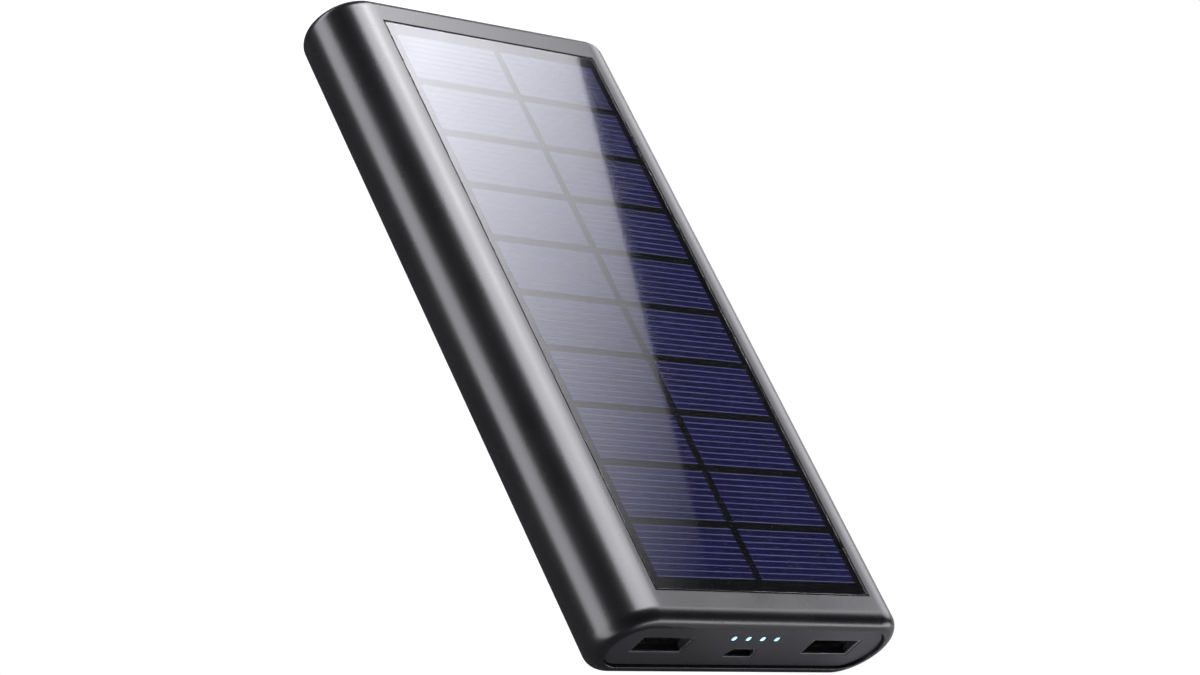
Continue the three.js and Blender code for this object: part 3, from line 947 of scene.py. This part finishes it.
class CHARGER_OT_charge_lights(bpy.types.Operator):
    """Models the light guide whose four tips show in the plate"""

    bl_idname = "charger.charge_lights"
    bl_label = "Charge Lights"

    def execute(self, context):
        low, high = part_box("led_light_guide")
        bar = block(
            "light_guide",
            (low.x, -73.4 * MM, LED_Z - 0.8 * MM),
            (high.x, -72.6 * MM, LED_Z + 0.8 * MM),
        )
        soften(bar, 0.1 * MM, 2)
        for step in LED_STEPS:
            carve(bar, self.prong(step * LED_PITCH, LED_Z, low, high), "UNION")
        shade(bar)
        guide = glow("lit_light_guide", colours().glow, 6.0)
        place(bar, BODY, "light_guide", guide, "led_light_guide")
        lens = plastic("led_package", (0.80, 0.80, 0.70), 0.3, 1500.0, 0.01)
        for number in range(1, 5):
            repaint(f"indicator_led_{number}", lens)
        return {"FINISHED"}

    def prong(self, x, z, low, high):
        """A prong that runs back from its window and bends down to its light."""
        half = 0.54 * MM
        prong = block(
            "prong", (x - half, low.y, z - 0.64 * MM), (x + half, high.y, z + 0.64 * MM)
        )
        edit(prong, "FACE", lambda f: True)
        bpy.ops.mesh.bisect(
            plane_co=(0.0, high.y - 1.3 * MM, 0.0), plane_no=(0, 1, 0), threshold=CUT_NEAR
        )
        done()

        def heel(face):
            return face.normal.z < -0.99 and face.calc_center_median().y > high.y - 1.3 * MM

        edit(prong, "FACE", heel)
        drop = z - 0.64 * MM - low.z
        bpy.ops.mesh.extrude_region_move(TRANSFORM_OT_translate={"value": (0.0, 0.0, -drop)})
        done()

        def elbow(edge):
            return all(
                abs(v.co.y - high.y) < NEAR and abs(v.co.z - z - 0.64 * MM) < NEAR
                for v in edge.verts
            )

        bevel_edges(prong, elbow, 1.0 * MM, 1)
        bevel_edges(prong, edge_at(1, low.y), 0.2 * MM, 3)
        return prong


class CHARGER_OT_power_button(bpy.types.Operator):
    """Models the crowned cap in the side wall and gives the switch behind it its finishes"""

    bl_idname = "charger.power_button"
    bl_label = "Power Button"

    def execute(self, context):
        low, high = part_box("power_button_cap")
        centre = ((low.y + high.y) / 2, MID_Z)
        flange_in = 35.5 * MM
        flange_out = 36.7 * MM
        cap = pill("button_cap", (flange_out - 0.5 * MM, high.x), centre, 4.5 * MM, 1.6 * MM)
        bevel_edges(cap, edge_at(0, high.x), 0.45 * MM, 5)
        flange = block(
            "flange",
            (flange_in, low.y, MID_Z - 2.2 * MM),
            (flange_out, high.y, MID_Z + 2.2 * MM),
        )
        soften(flange, 0.2 * MM, 2)
        carve(cap, flange, "UNION")
        nub = block(
            "nub",
            (low.x, centre[0] - 1.2 * MM, MID_Z - 1.2 * MM),
            (flange_in + 0.5 * MM, centre[0] + 1.2 * MM, MID_Z + 1.2 * MM),
        )
        carve(cap, nub, "UNION")
        shade(cap)
        place(cap, BUTTON, "shell_plastic", shell_plastic(), "power_button_cap")
        repaint("tact_switch_body", connector_nylon())
        repaint("tact_switch_plunger", tin_plate())
        return {"FINISHED"}


class CHARGER_OT_inner_parts(bpy.types.Operator):
    """Gives the tray, battery, circuit board, wires and screws their finishes"""

    bl_idname = "charger.inner_parts"
    bl_label = "Inner Parts"

    def execute(self, context):
        repaint("inner_chassis", plastic("tray_plastic", (0.011, 0.012, 0.013), 0.6, 1800.0, 0.03))
        foil = metal("pouch_foil", (0.72, 0.73, 0.75), 0.34, (1.0, 0.25, 1.0))
        repaint("battery_pouch_lower", foil)
        repaint("battery_pouch_upper", foil)
        repaint("battery_foam_pad", plastic("foam", (0.02, 0.02, 0.02), 0.95, 700.0, 0.2))
        laminate = plastic("circuit_laminate", (0.006, 0.085, 0.030), 0.35, 1200.0, 0.02)
        repaint("main_circuit_board", laminate)
        repaint("battery_tab_board", laminate)
        red = plastic("red_insulation", (0.45, 0.012, 0.012), 0.4, 900.0, 0.02)
        black = plastic("black_insulation", (0.006, 0.006, 0.006), 0.4, 900.0, 0.02)
        for kind in ("solar", "battery"):
            repaint(f"{kind}_lead_positive", red)
            repaint(f"{kind}_lead_negative", black)
        repaint("boost_inductor", plastic("ferrite", (0.045, 0.047, 0.050), 0.55, 1600.0, 0.05))
        chip = plastic("chip_plastic", (0.007, 0.008, 0.009), 0.4, 2600.0, 0.01)
        repaint("charge_controller_chip", chip)
        repaint("battery_protection_chip", chip)
        repaint("output_capacitor", metal("capacitor_can", (0.62, 0.64, 0.66), 0.28))
        zinc = metal("zinc_plated_screw", (0.60, 0.61, 0.62), 0.3)
        repaint("board_screw_left", zinc)
        repaint("board_screw_right", zinc)
        return {"FINISHED"}


class CHARGER_OT_studio(bpy.types.Operator):
    """Sets up the pale floor, the soft lights and the camera"""

    bl_idname = "charger.studio"
    bl_label = "Studio"

    def execute(self, context):
        self.floor()
        self.world()
        self.lights()
        self.camera()
        context.scene.view_settings.view_transform = "Standard"
        return {"FINISHED"}

    def floor(self):
        """A pale floor for the camera, the same floor as the charger mirrors it, and a black card
        on that floor as painted contact shadow.
        """
        seen = self.floor_plane("studio_floor", -0.0006, (0.16, 0.16, 0.16), 1.0)
        seen.visible_glossy = False
        seen.visible_diffuse = False
        seen.visible_shadow = False
        mirrored = self.floor_plane("floor_mirrored", -0.0003, (0.3, 0.3, 0.3), 0.0)
        mirrored.visible_camera = False
        mirrored.visible_shadow = False
        # Painted contact shadow: a near-black card on the floor, from under the charger out past
        # its left side, hidden from the camera. It darkens the floor that the charger mirrors next
        # to its body.
        bpy.ops.object.select_all(action="DESELECT")
        bpy.ops.mesh.primitive_plane_add(size=1.0, location=(-0.031, 0.02, -0.0001))
        bpy.ops.transform.resize(value=(0.062, 0.5, 1.0))
        card = start_object("painted_contact_shadow_card")
        material, shader = shader_of("painted_contact_shadow_card")
        shader.inputs["Base Color"].default_value = (0.01, 0.01, 0.01, 1.0)
        shader.inputs["Specular IOR Level"].default_value = 0.0
        card.data.materials.append(material)
        card.visible_camera = False
        card.visible_shadow = False

    def floor_plane(self, name, z, tint, strength):
        bpy.ops.object.select_all(action="DESELECT")
        bpy.ops.mesh.primitive_plane_add(size=12.0, location=(0.0, 0.0, z))
        floor = start_object(name)
        material, shader = shader_of(name)
        shader.inputs["Base Color"].default_value = (*tint, 1.0)
        shader.inputs["Roughness"].default_value = 0.85
        shader.inputs["Specular IOR Level"].default_value = 0.0
        shader.inputs["Emission Color"].default_value = (*colours().floor, 1.0)
        shader.inputs["Emission Strength"].default_value = strength
        floor.data.materials.append(material)
        return floor

    def world(self):
        """Pale behind the floor, and dim in everything that the charger mirrors."""
        world = bpy.data.worlds.new("studio_dim")
        world.use_nodes = True
        tree = world.node_tree
        backdrop = tree.nodes["Background"]
        backdrop.inputs["Color"].default_value = (0.95, 0.96, 1.0, 1.0)
        path = tree.nodes.new("ShaderNodeLightPath")
        level = tree.nodes.new("ShaderNodeMapRange")
        level.inputs["To Min"].default_value = 0.03
        level.inputs["To Max"].default_value = 1.05
        tree.links.new(path.outputs["Is Camera Ray"], level.inputs["Value"])
        tree.links.new(level.outputs["Result"], backdrop.inputs["Strength"])
        bpy.context.scene.world = world

    def lights(self):
        overhead = self.softbox("overhead", (0.18, 0.58, 1.03), (0.0, 0.0, 0.0), 0.9, 0.9, 9.0)
        self.grade(overhead.data, -0.22, 2.9, 0.0)
        self.softbox("low_panel", (-0.462, 0.25, 0.06), (-0.314, 0.25, 1.049), 0.8, 1.0, 4.0)
        self.softbox("front_strip", (0.62, -0.66, 0.06), (0.0, -0.078, 0.01), 1.0, 0.16, 4.5)
        self.sheen()

    def softbox(self, name, location, aim, width, height, radiance):
        """A rectangular area light of an even brightness, aimed at a point."""
        data = bpy.data.lights.new(name, "AREA")
        data.shape = "RECTANGLE"
        data.size = width
        data.size_y = height
        data.energy = radiance * 4.0 * width * height
        data.color = (0.96, 0.95, 1.0)
        lamp = bpy.data.objects.new(name, data)
        bpy.context.collection.objects.link(lamp)
        lamp.location = location
        direction = Vector(aim) - Vector(location)
        lamp.rotation_euler = direction.to_track_quat("-Z", "Y").to_euler()
        lamp.visible_camera = False
        return lamp

    def sheen(self):
        """Softboxes that the solar face mirrors, round a dark gap.

        The graded one's edge is laid across the panel; the even ones only light the dull rim.
        """
        eye = Vector(CAMERA_PLACE)
        eye.z = 2 * COVER_HIGH.z - eye.z
        face = Vector((0.0, 0.0, COVER_HIGH.z))
        facing = (face - eye).normalized()
        distance = (face - eye).length + 0.75

        def mirrored(x, y):
            ray = Vector((x * MM, y * MM, COVER_HIGH.z)) - eye
            return eye + ray * (distance / ray.dot(facing))

        top = mirrored(-14.5, -71.3)
        bottom = mirrored(25.6, 71.3)
        along = (top - bottom).normalized()
        across = along.cross(facing).normalized()
        turn = Matrix((across, along, facing)).transposed().to_euler()
        middle = (top + bottom) / 2
        for name, place_across, place_along, width, height, radiance in (
            ("panel_sheen", 0.25, -0.05, 0.5, 0.62, 4.4),
            ("rim_fill", -0.315, 0.05, 0.45, 0.8, 2.3),
            ("end_fill", -0.02, 0.39, 0.66, 0.45, 4.2),
            ("side_fill", 0.285, 0.05, 0.4, 0.8, 2.2),
        ):
            centre = middle + along * place_along + across * place_across
            lamp = self.softbox(name, centre, centre - facing, width, height, radiance)
            lamp.rotation_euler = turn
            if name == "panel_sheen":
                self.grade(lamp.data, 1.25, 2.08, -1.63)
            elif name == "end_fill":
                self.grade(lamp.data, 0.95, 0.0, -0.95)

    def grade(self, data, start, across, along):
        """Fades a softbox evenly from its bright corner."""
        data.use_nodes = True
        tree = data.node_tree
        emission = tree.nodes["Emission"]
        where = tree.nodes.new("ShaderNodeNewGeometry")
        slope = tree.nodes.new("ShaderNodeVectorMath")
        slope.operation = "DOT_PRODUCT"
        slope.inputs[1].default_value = (across, along, 0.0)
        level = tree.nodes.new("ShaderNodeMath")
        level.operation = "ADD"
        level.inputs[1].default_value = start
        limit = tree.nodes.new("ShaderNodeClamp")
        limit.inputs["Min"].default_value = 0.02
        limit.inputs["Max"].default_value = 0.92
        power = tree.nodes.new("ShaderNodeMath")
        power.operation = "POWER"
        power.inputs[1].default_value = 1.5
        tree.links.new(where.outputs["Parametric"], slope.inputs[0])
        tree.links.new(slope.outputs["Value"], level.inputs[0])
        tree.links.new(level.outputs["Value"], limit.inputs["Value"])
        tree.links.new(limit.outputs["Result"], power.inputs[0])
        tree.links.new(power.outputs["Value"], emission.inputs["Strength"])

    def camera(self):
        data = bpy.data.cameras.new("camera")
        data.sensor_width = 36.0
        data.lens = 101.07
        data.clip_start = 0.01
        data.clip_end = 50.0
        camera = bpy.data.objects.new("camera", data)
        bpy.context.collection.objects.link(camera)
        camera.location = CAMERA_PLACE
        camera.rotation_euler = Euler(
            (math.radians(48.834), math.radians(-35.741), math.radians(-28.411))
        )
        bpy.context.scene.camera = camera


PIECES = (
    CHARGER_OT_sleeve,
    CHARGER_OT_port_plate,
    CHARGER_OT_solar_panel,
    CHARGER_OT_usb_sockets,
    CHARGER_OT_micro_socket,
    CHARGER_OT_charge_lights,
    CHARGER_OT_power_button,
    CHARGER_OT_inner_parts,
    CHARGER_OT_studio,
)


class CHARGER_PT_sidebar(bpy.types.Panel):
    """Sizes, colours and the build steps of the charger"""

    bl_idname = "CHARGER_PT_sidebar"
    bl_label = "Solar Phone Charger"
    bl_space_type = "VIEW_3D"
    bl_region_type = "UI"
    bl_category = "Charger"

    def draw(self, context):
        layout = self.layout
        for group in (context.scene.charger_sizes, context.scene.charger_colours):
            column = layout.column()
            for name in group.bl_rna.properties.keys():
                if name not in ("name", "rna_type"):
                    column.prop(group, name)
        column = layout.column()
        for piece in PIECES:
            column.operator(piece.bl_idname)


CLASSES = (ChargerSizes, ChargerColours, *PIECES, CHARGER_PT_sidebar)


def register():
    for cls in CLASSES:
        bpy.utils.register_class(cls)
    bpy.types.Scene.charger_sizes = PointerProperty(type=ChargerSizes)
    bpy.types.Scene.charger_colours = PointerProperty(type=ChargerColours)


def unregister():
    del bpy.types.Scene.charger_colours
    del bpy.types.Scene.charger_sizes
    for cls in reversed(CLASSES):
        bpy.utils.unregister_class(cls)


def main():
    register()
    bpy.ops.charger.sleeve()
    bpy.ops.charger.port_plate()
    bpy.ops.charger.solar_panel()
    bpy.ops.charger.usb_sockets()
    bpy.ops.charger.micro_socket()
    bpy.ops.charger.charge_lights()
    bpy.ops.charger.power_button()
    bpy.ops.charger.inner_parts()
    bpy.ops.charger.studio()


if __name__ == "__main__":
    main()
